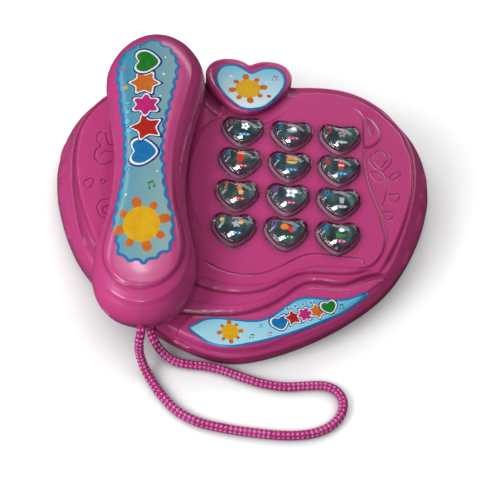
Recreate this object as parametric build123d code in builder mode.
"""Toy telephone: a heart-shaped base with twelve heart keys, a handset and a cord.

Millimetres. X right, Y to the back, Z up. The origin is in the middle of the flat
underside, on the heart's axis of symmetry. The key panel slopes up towards the back;
the handset lies on its left half, and the cord loops on the table in front.
"""
from build123d import *
import math
import os

os.makedirs("parts", exist_ok=True)

# ---------------------------------------------------------------------------
# Driving dimensions. A "level" is a height square to the key panel, from its face.
# ---------------------------------------------------------------------------
TILT = 8.0              # slope of the key panel, degrees
PANEL_Z = 27.02         # height of the key panel above the underside at Y = 0
SEAM_Z = 6.0            # height of the seam between the two base shells
WALL = 2.2              # base shell thickness
FLOOR = 2.4             # floor of the lower base shell
FLOOR_ROOT = FLOOR - 0.2    # where features standing on the floor start, to merge with it
GAP = 0.05              # between touching parts
RIM_LEVEL = -3.5        # where the side wall turns into the rolled rim
RIM_R = 3.2             # radius of the rolled rim
LOWER_TERRACE = -3.0    # level of the front terrace

KEY_PITCH_X = 24.0
KEY_PITCH_Y = 18.72
KEY_MID = (21.8, 7.0)   # middle of the key field on the panel
KEY_GAP = 0.35          # between a key and its hole

BADGE = (-1.5, 61.0)    # middle of the badge on the panel
BADGE_LEVEL = 4.0       # top of the badge plate
LABEL_T = 0.15
LABEL_GAP = 0.02        # between a label and the face under it

BOARD_TOP = -9.0        # level of the circuit board's upper face
BOARD_T = 1.6
BOARD_BOTTOM = BOARD_TOP - BOARD_T
BOARD_GAP = 0.02        # between the board and the small parts on it
BOARD_MID = (21.0, 6.0)
BOARD_SIZE = (82.0, 88.0)
BOARD_SCREW_INSET = 3.0     # from the board's edges

HANDSET_MID = (-43.0, 2.5)  # middle of the handset on the panel
HANDSET_TURN = 4.25         # handset's lean in the panel plane, degrees
HANDSET_SEAM = 9.0          # level of the seam between the handset's shells
HANDSET_TOP = 21.5          # level of the handset's crown
HANDSET_WALL = 2.0
CUP_BOTTOM = -1.95          # level of the bottom of the ear and mouth cups
EAR_ALONG, EAR_R = 50.0, 19.0
MOUTH_ALONG, MOUTH_R = -52.0, 18.0
CUPS = ((EAR_ALONG, EAR_R), (MOUTH_ALONG, MOUTH_R))

CORD_R = 2.0

TILT_COS = math.cos(math.radians(TILT))
TILT_SIN = math.sin(math.radians(TILT))
PANEL_UP = Axis((0, 0, 0), (0, -TILT_SIN, TILT_COS))


# ---------------------------------------------------------------------------
# Places and planes
# ---------------------------------------------------------------------------
def on_panel(x, y, level=0.0):
    """Point x to the right and y up the slope on the key panel, level above it."""
    return (x, y * TILT_COS - level * TILT_SIN,
            PANEL_Z + y * TILT_SIN + level * TILT_COS)


def panel_plane(level=0.0, x=0.0, y=0.0, turn=0.0):
    """Plane parallel to the key panel, centred over its point x, y."""
    angle = math.radians(turn)
    return Plane(
        origin=on_panel(x, y, level),
        x_dir=(math.cos(angle), math.sin(angle) * TILT_COS, math.sin(angle) * TILT_SIN),
        z_dir=(0, -TILT_SIN, TILT_COS),
    )


def flat_plane(z=0.0, x=0.0, y=0.0):
    """Horizontal plane at height z, centred on x, y."""
    return Plane(origin=(x, y, z), x_dir=(1, 0, 0), z_dir=(0, 0, 1))


def handset_spot(x, along):
    """Panel coordinates of a place x across and along the handset, ear end positive."""
    turn_cos = math.cos(math.radians(HANDSET_TURN))
    turn_sin = math.sin(math.radians(HANDSET_TURN))
    return (HANDSET_MID[0] + x * turn_cos - along * turn_sin,
            HANDSET_MID[1] + x * turn_sin + along * turn_cos)


def handset_plane(level=0.0, along=0.0):
    """Plane parallel to the panel; its local y runs along the handset."""
    return panel_plane(level, *handset_spot(0, along), HANDSET_TURN)


def handset_point(x, along, level):
    return on_panel(*handset_spot(x, along), level)


def level_z(y, level):
    """Height of a panel level at depth y."""
    return PANEL_Z + y * TILT_SIN / TILT_COS + level / TILT_COS


# ---------------------------------------------------------------------------
# Outline and building helpers
# ---------------------------------------------------------------------------
def both_sides(right):
    """Closed clockwise outline, symmetric about x = 0, from its right half."""
    return right + [(-x, y) for x, y in reversed(right[1:-1])]


def moved_in(points, distance):
    """A clockwise outline moved inwards (outwards when distance is negative)."""
    moved = []
    for i, (x, y) in enumerate(points):
        x_before, y_before = points[i - 1]
        x_after, y_after = points[(i + 1) % len(points)]
        step_x, step_y = x_after - x_before, y_after - y_before
        step = math.hypot(step_x, step_y)
        moved.append((x + distance * step_y / step, y - distance * step_x / step))
    return moved


def closed_curve(points):
    """Smooth closed face through the points, in the current sketch."""
    with BuildLine() as outline:
        Spline(*points, periodic=True)
    make_face(outline.edges())


def hole_rings(radius, rings):
    """A middle circle and rings of (ring radius, count) around it, in the current sketch."""
    Circle(radius)
    for ring_r, count in rings:
        with PolarLocations(ring_r, count):
            Circle(radius)


def save(builder, name):
    builder.part.label = name
    export_step(builder.part, "parts/" + name + ".step")


def save_screws(name, screws, head_r, shank_r, slot, slot_depth, head_t):
    """Slotted screws pointing up: screws is a list of (plane of the slotted face,
    shank length), slot is (length, width) and head_t is the head beyond the slot."""
    with BuildPart() as piece:
        for plane, shank_length in screws:
            with BuildSketch(plane):
                Circle(head_r)
                RectangleRounded(*slot, 0.1, mode=Mode.SUBTRACT)
            extrude(amount=slot_depth)
            with BuildSketch(plane.offset(slot_depth)):
                Circle(head_r)
            extrude(amount=head_t)
            with BuildSketch(plane.offset(slot_depth + head_t)):
                Circle(shank_r)
            extrude(amount=shank_length)
    save(piece, name)


def save_wire_pair(name, route, shift):
    """Two equal wires along the route, the second one moved by shift (x, y)."""
    with BuildPart() as piece:
        for shift_x, shift_y in ((0.0, 0.0), shift):
            with BuildLine() as run:
                Spline(*[(x + shift_x, y + shift_y, z) for x, y, z in route])
            with BuildSketch(Plane(origin=run.line @ 0, z_dir=run.line % 0)):
                Circle(0.55)
            sweep(path=run.line)
    save(piece, name)


# ---------------------------------------------------------------------------
# Outlines: (x, y) of the right half, from back to front
# ---------------------------------------------------------------------------
# foot of the side wall (horizontal)
wall_outline = both_sides([
    (0, 62.5), (8, 66.0), (17, 71.0), (27, 75.8), (37, 78.6), (48, 79.8), (59, 79.2),
    (69, 76.8), (77.5, 72.6), (84, 66.8), (88.8, 60.0), (91.8, 52.5), (93.6, 45.0),
    (94.5, 37.0), (94.6, 28.5), (94.0, 19.5), (92.3, 10.5), (89.9, 1.0), (87.0, -7.0),
    (83.6, -15.0), (79.6, -23.0), (75.2, -30.5), (70.0, -37.5), (63.6, -44.5),
    (56.1, -51.2), (48.0, -57.6), (39.5, -63.4), (30.5, -68.6), (21.0, -73.2),
    (11.0, -76.9), (0, -78.6)])
# edge of the rolled rim (panel plane)
rim_outline = both_sides([
    (0, 63.8), (8, 65.4), (16, 66.9), (24, 68.0), (32, 68.8), (41, 68.9), (50.1, 67.6),
    (59.2, 64.0), (67.0, 58.8), (73.2, 52.8), (77.8, 46.6), (81.2, 40.0), (83.6, 32.5),
    (84.8, 23.7), (84.6, 13.8), (83.4, 4.8), (81.7, -3.8), (79.7, -11.6), (77.3, -19.4),
    (74.6, -27.0), (71.6, -34.0), (67.8, -41.0), (62.6, -47.8), (56.2, -54.2),
    (48.8, -60.2), (40.8, -65.4), (32.6, -69.8), (24.6, -73.4), (16.6, -76.6),
    (8.4, -79.2), (0, -80.2)])
# key: a plump heart, 20.8 wide and about 17.8 high
heart_key = both_sides([
    (0, 5.6), (1.3, 6.1), (2.9, 7.2), (4.9, 8.0), (7.0, 7.8), (9.0, 6.3), (10.2, 3.9),
    (10.4, 1.3), (9.4, -1.5), (7.3, -4.3), (4.6, -7.0), (2.2, -8.9), (0, -9.8)])
# badge: a larger heart, 44 wide
heart_badge = both_sides([
    (0, 14.6), (2.4, 15.8), (5.6, 17.2), (9.6, 17.7), (14.2, 17.2), (18.4, 15.2),
    (21.2, 11.6), (22.0, 7.0), (20.9, 1.6), (18.0, -4.0), (13.8, -9.4), (9.0, -14.0),
    (4.4, -17.0), (0, -17.9)])
# handset seen from above, from the ear end to the mouth end
handset_outline = both_sides([
    (0, 80.0), (5.2, 79.3), (9.6, 77.5), (13.9, 74.5), (17.5, 70.5), (20.3, 66.0),
    (22.4, 61.0), (23.7, 56.0), (24.2, 51.0), (24.0, 46.0), (23.1, 40.0), (21.6, 32.0),
    (19.7, 22.0), (18.0, 12.0), (16.9, 2.0), (16.6, -8.0), (17.0, -18.0), (18.2, -27.0),
    (19.6, -34.0), (20.9, -40.0), (21.8, -45.0), (22.3, -50.0), (22.4, -55.0),
    (21.9, -60.0), (20.6, -65.0), (18.3, -70.0), (15.2, -74.0), (11.0, -76.9),
    (6.2, -78.8), (0, -79.7)])
# long label on the handset, wider at both ends
label_outline = both_sides([
    (0, 69.5), (8.6, 67.0), (13.0, 60.0), (14.6, 52.0), (14.4, 42.0), (12.8, 30.0),
    (11.2, 16.0), (10.2, 2.0), (10.2, -12.0), (11.2, -26.0), (12.8, -38.0),
    (14.2, -48.0), (13.2, -56.0), (8.0, -62.0), (0, -64.0)])

# ---------------------------------------------------------------------------
# Places shared by several parts
# ---------------------------------------------------------------------------
key_names = ["1", "2", "3", "4", "5", "6", "7", "8", "9", "star", "0", "hash"]
key_spots = {
    key: (KEY_MID[0] + (i % 3 - 1) * KEY_PITCH_X, KEY_MID[1] + (1.5 - i // 3) * KEY_PITCH_Y)
    for i, key in enumerate(key_names)
}

# base screws: x, y, height of the lower boss's top, level of the upper post's root
base_screw_spots = [
    (76.0, 8.0, 10.0, -1.3), (-76.0, 8.0, 10.0, -4.3), (72.5, 46.0, 10.0, -1.3),
    (-70.0, 50.0, 10.0, -4.3), (46.0, -46.0, 7.0, -4.6), (-20.0, -62.0, 7.0, -4.6)]

# board screws, one at each corner: x, y on the panel, level of the post's root
board_screw_spots = [
    (BOARD_MID[0] + side * (BOARD_SIZE[0] / 2 - BOARD_SCREW_INSET),
     BOARD_MID[1] + end * (BOARD_SIZE[1] / 2 - BOARD_SCREW_INSET), root)
    for end, root in ((1, -1.2), (-1, -4.4)) for side in (-1, 1)
]
handset_screw_spots = [-31.0, 0.0, 31.0]    # along the handset

# battery bay in the floor
BAY_LEFT, BAY_RIGHT = -2.0, 58.0
BAY_X = (BAY_LEFT + BAY_RIGHT) / 2
BAY_Y = 33.0
BAY_SIZE = (BAY_RIGHT - BAY_LEFT, 48.0)
CELL_PITCH = 15.5
CELL_Z = 9.95
# cells: y of the axis, direction in x that the raised end faces
cells = [(BAY_Y - CELL_PITCH, 1), (BAY_Y, -1), (BAY_Y + CELL_PITCH, 1)]
DOOR_MID = (32.0, BAY_Y)
DOOR_SIZE = (72.0, 51.0)    # recess of the battery door
DOOR_SCREW = (63.4, BAY_Y)
SWITCH = (28.0, -20.0)
SWITCH_SLOT = (9.4, 4.4)
SPEAKER = (-46.0, 8.0)

# ---------------------------------------------------------------------------
# Base, upper shell
# ---------------------------------------------------------------------------
CAVITY_LEVEL = -5.4         # top of the main cavity
KEY_CAVITY_DEPTH = 3.0      # extra cavity above it, under the keys
# terraces: level, crest line from left to right on the panel
terraces = (
    (-2.0, [(-100, -46), (-60, -46.5), (-12.7, -47.5), (1.6, -49.7), (16.3, -46.9),
            (27.6, -40.0), (38.3, -36.9), (51.3, -36.6), (60.2, -35.6), (68, -33),
            (78, -31), (100, -31)]),
    (LOWER_TERRACE,
     [(-100, -61), (-60, -62), (-13.5, -64.2), (2.7, -62.8), (17.1, -56.9),
      (27.4, -48.2), (38.1, -43.9), (51.5, -43.2), (63.3, -38.4), (78, -36), (100, -36)]),
)

with BuildPart() as base_top_shell:
    # side wall, sloping between the foot and the rim
    with BuildSketch(flat_plane(SEAM_Z)):
        closed_curve(wall_outline)
    with BuildSketch(panel_plane(RIM_LEVEL)):
        closed_curve(rim_outline)
    loft()
    # flat top with a rolled rim
    with BuildSketch(panel_plane(RIM_LEVEL)):
        closed_curve(rim_outline)
    extrude(amount=-RIM_LEVEL)
    top_face = base_top_shell.faces().sort_by(PANEL_UP)[-1]
    fillet(top_face.outer_wire().edges(), RIM_R)
    # wavy terraces in front of the keys
    for level, crest in terraces:
        with BuildSketch(panel_plane(level)):
            with BuildLine():
                wave = Spline(*crest)
                Polyline(wave @ 1, (100, -100), (-100, -100), wave @ 0)
            make_face()
        extrude(amount=8, mode=Mode.SUBTRACT)
    # heart plate that carries the badge, on a narrower foot
    with BuildSketch(panel_plane(-7.0, *BADGE)):
        closed_curve(moved_in(heart_badge, 2.0))
    extrude(amount=7.0)
    with BuildSketch(panel_plane(0.0, *BADGE)):
        closed_curve(heart_badge)
    extrude(amount=BADGE_LEVEL)
    # shallow pockets that hold the handset's cups
    with BuildSketch(handset_plane(CUP_BOTTOM - GAP)):
        for along, cup_r in CUPS:
            with Locations((0, along)):
                Circle(cup_r + 0.8)
    extrude(amount=6, mode=Mode.SUBTRACT)
    # main cavity
    with BuildSketch(flat_plane(SEAM_Z)):
        closed_curve(moved_in(wall_outline, WALL))
    with BuildSketch(panel_plane(CAVITY_LEVEL)):
        closed_curve(moved_in(rim_outline, 3.0))
    loft(mode=Mode.SUBTRACT)
    # higher cavity around the keys
    with BuildSketch(panel_plane(CAVITY_LEVEL)):
        closed_curve(moved_in(rim_outline, 4.6))
        with Locations((37.0, 27.0)):
            Rectangle(126, 121, mode=Mode.INTERSECT)
    extrude(amount=KEY_CAVITY_DEPTH, mode=Mode.SUBTRACT)
    # key holes
    for x, y in key_spots.values():
        with BuildSketch(panel_plane(-6.0, x, y)):
            closed_curve(moved_in(heart_key, -KEY_GAP))
        extrude(amount=7.0, mode=Mode.SUBTRACT)
    # posts of the base screws
    for x, y, boss_top, root in base_screw_spots:
        room = level_z(y, root) - boss_top
        with BuildSketch(flat_plane(boss_top + GAP, x, y)):
            Circle(3.4)
        extrude(amount=room - GAP)
        with BuildSketch(flat_plane(boss_top + GAP, x, y)):
            Circle(1.3)
        extrude(amount=min(12.0, room - 0.7), mode=Mode.SUBTRACT)
    # posts of the board screws
    for x, y, root in board_screw_spots:
        with BuildSketch(panel_plane(BOARD_TOP + 0.03, x, y)):
            Circle(2.6)
        extrude(amount=root - BOARD_TOP)
        with BuildSketch(panel_plane(BOARD_TOP + 0.03, x, y)):
            Circle(1.2)
        extrude(amount=4.4, mode=Mode.SUBTRACT)
    # outlet of the cord, under the handset
    with BuildSketch(Plane(origin=(-35.0, -72.5, 9.4), z_dir=(0.0, 0.998, 0.04))):
        Circle(CORD_R + 0.6)
    extrude(amount=12, mode=Mode.SUBTRACT)
save(base_top_shell, "base_top_shell")

# ---------------------------------------------------------------------------
# Base, lower shell
# ---------------------------------------------------------------------------
DOOR_RECESS = 1.5
DOOR_COLLAR_HOLE_R = 3.9    # hole for the collar around the door's screw

with BuildPart() as base_bottom_shell:
    with BuildSketch(flat_plane()):
        closed_curve(wall_outline)
    extrude(amount=SEAM_Z - GAP)
    fillet(base_bottom_shell.faces().sort_by(Axis.Z)[0].outer_wire().edges(), 1.4)
    with BuildSketch(flat_plane(FLOOR)):
        closed_curve(moved_in(wall_outline, WALL))
    extrude(amount=SEAM_Z, mode=Mode.SUBTRACT)
    # bosses of the base screws, with a wide hole for the head and a narrow one above
    for x, y, boss_top, root in base_screw_spots:
        with BuildSketch(flat_plane(FLOOR_ROOT, x, y)):
            Circle(4.2)
        extrude(amount=boss_top - FLOOR_ROOT)
        with BuildSketch(flat_plane(0, x, y)):
            Circle(2.95)
        extrude(amount=boss_top - 3.6, mode=Mode.SUBTRACT)
        with BuildSketch(flat_plane(0, x, y)):
            Circle(1.5)
        extrude(amount=boss_top + 1, mode=Mode.SUBTRACT)
    # walls of the battery bay
    with BuildSketch(flat_plane(FLOOR_ROOT, BAY_X, BAY_Y)):
        Rectangle(BAY_SIZE[0] + 3.2, BAY_SIZE[1] + 3.2)
        Rectangle(*BAY_SIZE, mode=Mode.SUBTRACT)
    extrude(amount=10.0)
    # ring and solid core for the door's screw
    with BuildSketch(flat_plane(FLOOR_ROOT, *DOOR_SCREW)):
        Circle(5.2)
        Circle(DOOR_COLLAR_HOLE_R, mode=Mode.SUBTRACT)
    extrude(amount=9.0)
    with BuildSketch(flat_plane(4.6, *DOOR_SCREW)):
        Circle(4.4)
    extrude(amount=6.6)
    # recess and opening of the battery door
    with BuildSketch(flat_plane(0, *DOOR_MID)):
        RectangleRounded(*DOOR_SIZE, 3.0)
    extrude(amount=DOOR_RECESS, mode=Mode.SUBTRACT)
    with BuildSketch(flat_plane()):
        with Locations((BAY_X - 0.5, BAY_Y)):
            Rectangle(BAY_SIZE[0] - 3.0, BAY_SIZE[1] - 2.0)
        with Locations(DOOR_SCREW):
            Circle(DOOR_COLLAR_HOLE_R)
    extrude(amount=4.5, mode=Mode.SUBTRACT)
    with BuildSketch(flat_plane(4.0, *DOOR_SCREW)):
        Circle(1.3)
    extrude(amount=6.2, mode=Mode.SUBTRACT)
    # slot of the power switch
    with BuildSketch(flat_plane(0, *SWITCH)):
        RectangleRounded(*SWITCH_SLOT, 0.4)
    extrude(amount=FLOOR + 1, mode=Mode.SUBTRACT)
    # sound holes under the speaker
    with BuildSketch(flat_plane(0, *SPEAKER)):
        hole_rings(1.1, ((6.0, 6), (12.0, 12)))
    extrude(amount=FLOOR + 1, mode=Mode.SUBTRACT)
    # ring that locates the speaker
    with BuildSketch(flat_plane(FLOOR_ROOT, *SPEAKER)):
        Circle(26.4)
        Circle(25.2, mode=Mode.SUBTRACT)
    extrude(amount=2.2)
save(base_bottom_shell, "base_bottom_shell")

# ---------------------------------------------------------------------------
# Screws
# ---------------------------------------------------------------------------
save_screws(
    "base_screws",
    [(flat_plane(boss_top - 5.6, x, y), 3.7 + min(11.5, level_z(y, root) - boss_top - 1.2))
     for x, y, boss_top, root in base_screw_spots],
    head_r=2.7, shank_r=1.25, slot=(3.0, 0.7), slot_depth=0.9, head_t=1.05)
save_screws(
    "board_screws",
    [(panel_plane(BOARD_BOTTOM - 1.75, x, y), BOARD_T + 4.0)
     for x, y, root in board_screw_spots],
    head_r=2.2, shank_r=1.12, slot=(2.6, 0.6), slot_depth=0.7, head_t=1.0)
save_screws(
    "battery_door_screw", [(flat_plane(0.6, *DOOR_SCREW), 7.0)],
    head_r=2.65, shank_r=1.25, slot=(3.0, 0.7), slot_depth=0.9, head_t=1.2)
save_screws(
    "handset_screws",
    [(handset_plane(HANDSET_SEAM - 3.5, along), 9.0) for along in handset_screw_spots],
    head_r=2.3, shank_r=1.12, slot=(2.6, 0.6), slot_depth=0.7, head_t=0.95)

# ---------------------------------------------------------------------------
# Electronics under the keys
# ---------------------------------------------------------------------------
with BuildPart() as main_circuit_board:
    with BuildSketch(panel_plane(BOARD_BOTTOM, *BOARD_MID)):
        RectangleRounded(*BOARD_SIZE, 2.0)
    extrude(amount=BOARD_T)
    for x, y, root in board_screw_spots:
        with BuildSketch(panel_plane(BOARD_BOTTOM - 0.1, x, y)):
            Circle(1.4)
        extrude(amount=BOARD_T + 1, mode=Mode.SUBTRACT)
save(main_circuit_board, "main_circuit_board")

# tapered blob under the board
with BuildPart() as sound_chip:
    with BuildSketch(panel_plane(BOARD_BOTTOM - BOARD_GAP, 22.0, -4.0)):
        Circle(7.0)
    extrude(amount=-1.8, taper=25)
save(sound_chip, "sound_chip")

# two pillars under each key's flange
with BuildPart() as key_contact_pads:
    for x, y in key_spots.values():
        with BuildSketch(panel_plane(BOARD_TOP + BOARD_GAP, x, y)):
            with Locations((-10.2, 1.7), (10.2, 1.7)):
                Circle(1.2)
        extrude(amount=4.74)
save(key_contact_pads, "key_contact_pads")

LED_R = 1.5
LED_BODY = 1.5          # height of the straight part

with BuildPart() as led_lamps:
    for column in (-0.5, 0.5):
        for row in (-1, 1):
            x = KEY_MID[0] + column * KEY_PITCH_X
            y = KEY_MID[1] + row * KEY_PITCH_Y + 1.0
            with BuildSketch(panel_plane(BOARD_TOP + BOARD_GAP, x, y)):
                Circle(LED_R)
            extrude(amount=LED_BODY)
            with BuildSketch(panel_plane(BOARD_TOP + BOARD_GAP + LED_BODY, x, y)):
                Circle(LED_R)
            extrude(amount=0.9, taper=35)
save(led_lamps, "led_lamps")


# ---------------------------------------------------------------------------
# Speaker, facing the sound holes in the floor
# ---------------------------------------------------------------------------
def save_speaker_ring(name, profile):
    """Closed profile of (radius, height) turned about the speaker's axis."""
    foot = (*SPEAKER, 0)
    with BuildPart() as piece:
        with BuildSketch(Plane(origin=foot, x_dir=(1, 0, 0), z_dir=(0, -1, 0))):
            with BuildLine():
                Polyline(*profile)
            make_face()
        revolve(axis=Axis(foot, (0, 0, 1)))
    save(piece, name)


save_speaker_ring("speaker_frame", [
    (25.0, 2.46), (25.0, 3.9), (21.6, 3.9), (12.6, 11.6), (12.6, 13.4), (3.6, 13.4),
    (3.6, 12.2), (11.4, 12.2), (11.4, 11.0), (20.4, 3.2), (20.4, 2.46), (25.0, 2.46)])
save_speaker_ring("speaker_cone", [
    (19.9, 2.9), (19.6, 3.5), (7.0, 9.4), (7.0, 11.6), (6.4, 11.6), (6.4, 8.9),
    (0, 7.6), (0, 7.0), (6.4, 8.2), (19.2, 2.9), (19.9, 2.9)])

with BuildPart() as speaker_magnet:
    with BuildSketch(flat_plane(13.4 + GAP, *SPEAKER)):
        Circle(13.5)
        Circle(3.4, mode=Mode.SUBTRACT)
    extrude(amount=5.2)
    chamfer(speaker_magnet.faces().sort_by(Axis.Z)[-1].outer_wire().edges(), 0.6)
save(speaker_magnet, "speaker_magnet")

# ---------------------------------------------------------------------------
# Battery bay
# ---------------------------------------------------------------------------
CELL_R = 7.2
CELL_LENGTH = 50.0
CELL_SHIFT = 2.2        # of a cell away from its spring
DOOR_Z = 0.1            # underside of the door

with BuildPart() as battery_cells:
    for y, facing in cells:
        middle = BAY_X + facing * CELL_SHIFT
        half = facing * CELL_LENGTH / 2
        with BuildSketch(Plane(origin=(middle - half, y, CELL_Z), z_dir=(facing, 0, 0))):
            Circle(CELL_R)
        extrude(amount=CELL_LENGTH)
        # raised end
        with BuildSketch(Plane(origin=(middle + half, y, CELL_Z), z_dir=(facing, 0, 0))):
            Circle(2.7)
        extrude(amount=1.1)
save(battery_cells, "battery_cells")

with BuildPart() as battery_contacts:
    for y, facing in cells:
        for x in (BAY_LEFT + 0.4, BAY_RIGHT - 0.4):
            with BuildSketch(Plane(origin=(x, y, CELL_Z), z_dir=(1, 0, 0))):
                RectangleRounded(9.5, 10.5, 1.0)
            extrude(amount=0.2, both=True)
save(battery_contacts, "battery_contacts")

# one spring at the flat end of each cell
with BuildPart() as battery_springs:
    for y, facing in cells:
        x = BAY_LEFT + 1.0 if facing == 1 else BAY_RIGHT - 1.0
        with BuildLine():
            coil = Helix(pitch=1.25, height=5.0, radius=3.0, center=(x, y, CELL_Z),
                         direction=(facing, 0, 0))
        with BuildSketch(Plane(origin=coil @ 0, z_dir=coil % 0)):
            Circle(0.35)
        sweep(path=coil, is_frenet=True)
save(battery_springs, "battery_springs")

with BuildPart() as battery_door:
    with BuildSketch(flat_plane(DOOR_Z, *DOOR_MID)):
        RectangleRounded(DOOR_SIZE[0] - 0.6, DOOR_SIZE[1] - 0.6, 2.7)
    extrude(amount=1.3)
    # collar of the screw, with a wide hole for the head and a narrower one through
    with BuildSketch(flat_plane(DOOR_Z, *DOOR_SCREW)):
        Circle(3.6)
    extrude(amount=4.2)
    with BuildSketch(flat_plane(DOOR_Z, *DOOR_SCREW)):
        Circle(2.9)
    extrude(amount=2.7, mode=Mode.SUBTRACT)
    with BuildSketch(flat_plane(DOOR_Z, *DOOR_SCREW)):
        Circle(1.6)
    extrude(amount=6, mode=Mode.SUBTRACT)
    # grip grooves
    with BuildSketch(flat_plane(DOOR_Z, 6, BAY_Y)):
        with GridLocations(3.0, 1.0, 4, 1):
            SlotOverall(16, 1.2, rotation=90)
    extrude(amount=0.5, mode=Mode.SUBTRACT)
save(battery_door, "battery_door")

# ---------------------------------------------------------------------------
# Power switch, with the knob pushed to the left
# ---------------------------------------------------------------------------
KNOB_PLANE = flat_plane(0.3, SWITCH[0] - 2.0, SWITCH[1])

with BuildPart() as power_switch_body:
    with BuildSketch(flat_plane(FLOOR + GAP, *SWITCH)):
        RectangleRounded(16, 9, 0.6)
    extrude(amount=5.5)
    with BuildSketch(flat_plane(FLOOR + GAP, *SWITCH)):
        Rectangle(*SWITCH_SLOT)
    extrude(amount=2.4, mode=Mode.SUBTRACT)
save(power_switch_body, "power_switch_body")

with BuildPart() as power_switch_knob:
    with BuildSketch(KNOB_PLANE):
        RectangleRounded(4.6, 4.0, 0.8)
    extrude(amount=4.2)
    # grip grooves
    with BuildSketch(KNOB_PLANE):
        with GridLocations(1.3, 1.0, 3, 1):
            Rectangle(0.5, 3.0)
    extrude(amount=0.4, mode=Mode.SUBTRACT)
save(power_switch_knob, "power_switch_knob")

# ---------------------------------------------------------------------------
# Wires
# ---------------------------------------------------------------------------
save_wire_pair("speaker_wires", [(-31.0, 14.0, 12.6), (-26.5, 12.5, 15.0),
                                 (-21.5, 10.5, 15.6), (-15.0, 9.5, 16.4)], (0.0, 2.2))
save_wire_pair("battery_wires", [(2.0, 6.0, 9.0), (1.6, 5.2, 11.6), (2.2, 3.0, 14.0),
                                 (3.0, -1.5, 14.9)], (3.0, 0.0))

# ---------------------------------------------------------------------------
# Labels of the base
# ---------------------------------------------------------------------------
with BuildPart() as badge_label:
    with BuildSketch(panel_plane(BADGE_LEVEL + LABEL_GAP, *BADGE)):
        closed_curve(moved_in(heart_badge, 3.4))
    extrude(amount=LABEL_T)
save(badge_label, "badge_label")

# edges of the front label on the lower terrace; they meet at the upper edge's ends
label_upper_edge = [
    (-17.9, -71.6), (-10.8, -66.4), (1.0, -65.4), (13.6, -64.4), (22.4, -58.3),
    (30.7, -52.3), (41.3, -51.8), (51.3, -50.6), (61.0, -46.7)]
label_lower_edge = [
    (54.2, -54.3), (41.6, -62.8), (27.8, -69.8), (14.3, -75.1), (2.1, -77.6), (-8.3, -77.0)]

with BuildPart() as front_label:
    with BuildSketch(panel_plane(LOWER_TERRACE + LABEL_GAP)):
        with BuildLine():
            upper = Spline(*label_upper_edge)
            Spline(upper @ 1, *label_lower_edge, upper @ 0)
        make_face()
    extrude(amount=LABEL_T)
save(front_label, "front_label")

# ---------------------------------------------------------------------------
# Keys: a hollow heart cap on a flange, over a thin film
# ---------------------------------------------------------------------------
FLANGE_BOTTOM = -4.2
FLANGE_T = 1.6
FLANGE_TOP = FLANGE_BOTTOM + FLANGE_T
SHOULDER = 2.0          # level where the straight side ends
# sections of the rounded crown: level, distance in from the outline
crown_sections = ((SHOULDER, 0.0), (3.5, 0.35), (4.6, 1.3), (5.2, 3.0))

for key, (x, y) in key_spots.items():
    with BuildPart() as key_cap:
        with BuildSketch(panel_plane(FLANGE_BOTTOM, x, y)):
            closed_curve(moved_in(heart_key, -1.2))
        extrude(amount=FLANGE_T)
        with BuildSketch(panel_plane(FLANGE_TOP, x, y)):
            closed_curve(heart_key)
        extrude(amount=SHOULDER - FLANGE_TOP)
        for level, inset in crown_sections:
            with BuildSketch(panel_plane(level, x, y)):
                closed_curve(moved_in(heart_key, inset))
        loft()
        with BuildSketch(panel_plane(FLANGE_BOTTOM, x, y)):
            closed_curve(moved_in(heart_key, 1.6))
        extrude(amount=SHOULDER - FLANGE_BOTTOM, mode=Mode.SUBTRACT)
    save(key_cap, "key_" + key + "_cap")

    with BuildPart() as key_film:
        with BuildSketch(panel_plane(1.8, x, y)):
            closed_curve(moved_in(heart_key, 1.75))
        extrude(amount=0.18)
    save(key_film, "key_" + key + "_film")

# ---------------------------------------------------------------------------
# Handset
# ---------------------------------------------------------------------------
CROWN_R = 6.0           # rounding of the upper edge
UPPER_BOTTOM = HANDSET_SEAM + 0.03

with BuildPart() as handset_upper_shell:
    with BuildSketch(handset_plane(UPPER_BOTTOM)):
        closed_curve(handset_outline)
    extrude(amount=HANDSET_TOP - UPPER_BOTTOM)
    crown = handset_upper_shell.faces().sort_by(PANEL_UP)[-1]
    fillet(crown.outer_wire().edges(), CROWN_R)
    # cavity: straight, then narrowing under the rounded edge
    with BuildSketch(handset_plane(HANDSET_SEAM)):
        closed_curve(moved_in(handset_outline, HANDSET_WALL))
    extrude(amount=HANDSET_TOP - HANDSET_SEAM - CROWN_R, mode=Mode.SUBTRACT)
    with BuildSketch(handset_plane(HANDSET_TOP - CROWN_R)):
        closed_curve(moved_in(handset_outline, HANDSET_WALL))
    with BuildSketch(handset_plane(HANDSET_TOP - HANDSET_WALL)):
        closed_curve(moved_in(handset_outline, 4.8))
    loft(mode=Mode.SUBTRACT)
    # screw posts
    for along in handset_screw_spots:
        with BuildSketch(handset_plane(UPPER_BOTTOM, along)):
            Circle(2.8)
        extrude(amount=HANDSET_TOP - HANDSET_SEAM - 1.2)
        with BuildSketch(handset_plane(HANDSET_SEAM, along)):
            Circle(1.2)
        extrude(amount=8.0, mode=Mode.SUBTRACT)
save(handset_upper_shell, "handset_upper_shell")

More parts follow.
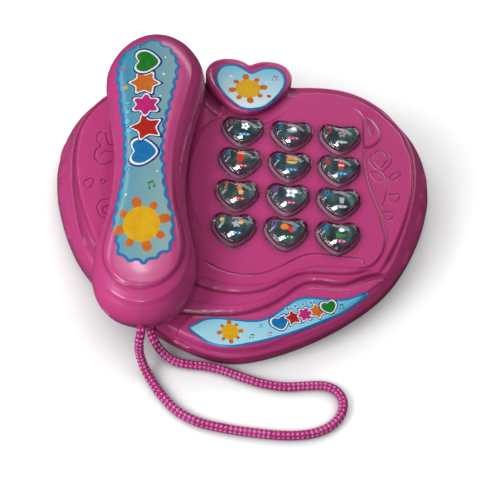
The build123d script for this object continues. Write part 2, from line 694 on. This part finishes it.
with BuildPart() as handset_lower_shell:
    with BuildSketch(handset_plane(HANDSET_SEAM)):
        closed_curve(handset_outline)
    with BuildSketch(handset_plane(HANDSET_SEAM - 5.5)):
        closed_curve(moved_in(handset_outline, 1.2))
    loft()
    # ear and mouth cups
    with BuildSketch(handset_plane(CUP_BOTTOM)):
        for along, cup_r in CUPS:
            with Locations((0, along)):
                Circle(cup_r)
    extrude(amount=6.5 - CUP_BOTTOM)
    cup_faces = handset_lower_shell.faces().sort_by(PANEL_UP)[:2]
    fillet([edge for face in cup_faces for edge in face.outer_wire().edges()], 1.2)
    # cavity, running down into the cups
    with BuildSketch(handset_plane(HANDSET_SEAM)):
        closed_curve(moved_in(handset_outline, 2.2))
    with BuildSketch(handset_plane(HANDSET_SEAM - 3.3)):
        closed_curve(moved_in(handset_outline, 3.0))
    loft(mode=Mode.SUBTRACT)
    with BuildSketch(handset_plane(CUP_BOTTOM + HANDSET_WALL)):
        for along, cup_r in CUPS:
            with Locations((0, along)):
                Circle(cup_r - HANDSET_WALL)
    extrude(amount=9.0, mode=Mode.SUBTRACT)
    # sound holes of the ear and mouth cups
    with BuildSketch(handset_plane(CUP_BOTTOM)):
        with Locations((0, EAR_ALONG)):
            hole_rings(1.0, ((4.5, 6), (9.0, 12)))
        with Locations((0, MOUTH_ALONG)):
            hole_rings(1.0, ((5.0, 6),))
    extrude(amount=3.0, mode=Mode.SUBTRACT)
    # screw bosses, with a wide hole for the head and a narrow one above
    for along in handset_screw_spots:
        with BuildSketch(handset_plane(HANDSET_SEAM - 3.5, along)):
            Circle(4.0)
        extrude(amount=3.5)
        with BuildSketch(handset_plane(HANDSET_SEAM - 6.0, along)):
            Circle(2.5)
        extrude(amount=4.2, mode=Mode.SUBTRACT)
        with BuildSketch(handset_plane(HANDSET_SEAM - 6.0, along)):
            Circle(1.35)
        extrude(amount=7.0, mode=Mode.SUBTRACT)
    # outlet of the cord at the mouth end's tip
    with BuildSketch(Plane(origin=handset_point(0, -84.0, 6.6),
                           z_dir=handset_plane().y_dir)):
        Circle(CORD_R + 0.2)
    extrude(amount=12.0, mode=Mode.SUBTRACT)
save(handset_lower_shell, "handset_lower_shell")

with BuildPart() as handset_label:
    with BuildSketch(handset_plane(HANDSET_TOP + LABEL_GAP)):
        closed_curve(label_outline)
    extrude(amount=LABEL_T)
save(handset_label, "handset_label")

# ---------------------------------------------------------------------------
# Cord: from the handset's tip down to a loop on the table, then into the base
# ---------------------------------------------------------------------------
with BuildPart() as cord_handset_knot:
    with Locations(handset_point(0, -71.6, 9.5)):
        Sphere(3.1)
    with Locations(handset_point(0.3, -73.8, 9.0)):
        Sphere(2.0)
save(cord_handset_knot, "cord_handset_knot")

# corners of the cord's centre line: x, y, z
cord_path = [
    handset_point(0, -81.6, 6.6), (-37.6, -81.6, 17.5), (-37.5, -82.6, 10.5),
    (-35.4, -85.6, 4.6), (-32.0, -90.0, 2.05), (-26.8, -96.6, 2.02),
    (-19.7, -103.3, 2.02), (-10.3, -107.8, 2.02), (1.6, -109.9, 2.02),
    (14.2, -110.8, 2.02), (26.8, -110.9, 2.02), (37.6, -109.2, 2.02),
    (45.4, -105.3, 2.02), (50.2, -99.4, 2.02), (51.2, -93.0, 2.02), (48.4, -88.2, 2.02),
    (43.0, -86.2, 2.02), (35.9, -86.8, 2.02), (25.9, -88.2, 2.02), (15.9, -87.4, 2.02),
    (6.1, -84.9, 2.02), (-2.0, -82.4, 2.02), (-9.7, -81.2, 2.02), (-16.5, -81.0, 2.05),
    (-22.8, -80.2, 2.3), (-28.0, -77.8, 4.2), (-32.0, -74.6, 7.4), (-34.4, -70.6, 9.4),
    (-35.0, -66.0, 9.8), (-34.4, -60.5, 9.9)]

with BuildPart() as cord:
    with BuildLine() as run:
        FilletPolyline(*cord_path, radius=3.0)
    run_wire = run.wires()[0]
    with BuildSketch(Plane(origin=run_wire @ 0, z_dir=run_wire % 0)):
        Circle(CORD_R)
    sweep(path=run_wire)
    # stopper inside the base
    with BuildSketch(Plane(origin=run_wire @ 1, z_dir=run_wire % 1)):
        Circle(2.9)
    extrude(amount=3.8)
    chamfer(cord.faces().sort_by(Axis.Y)[-1].outer_wire().edges(), 0.8)
save(cord, "cord")
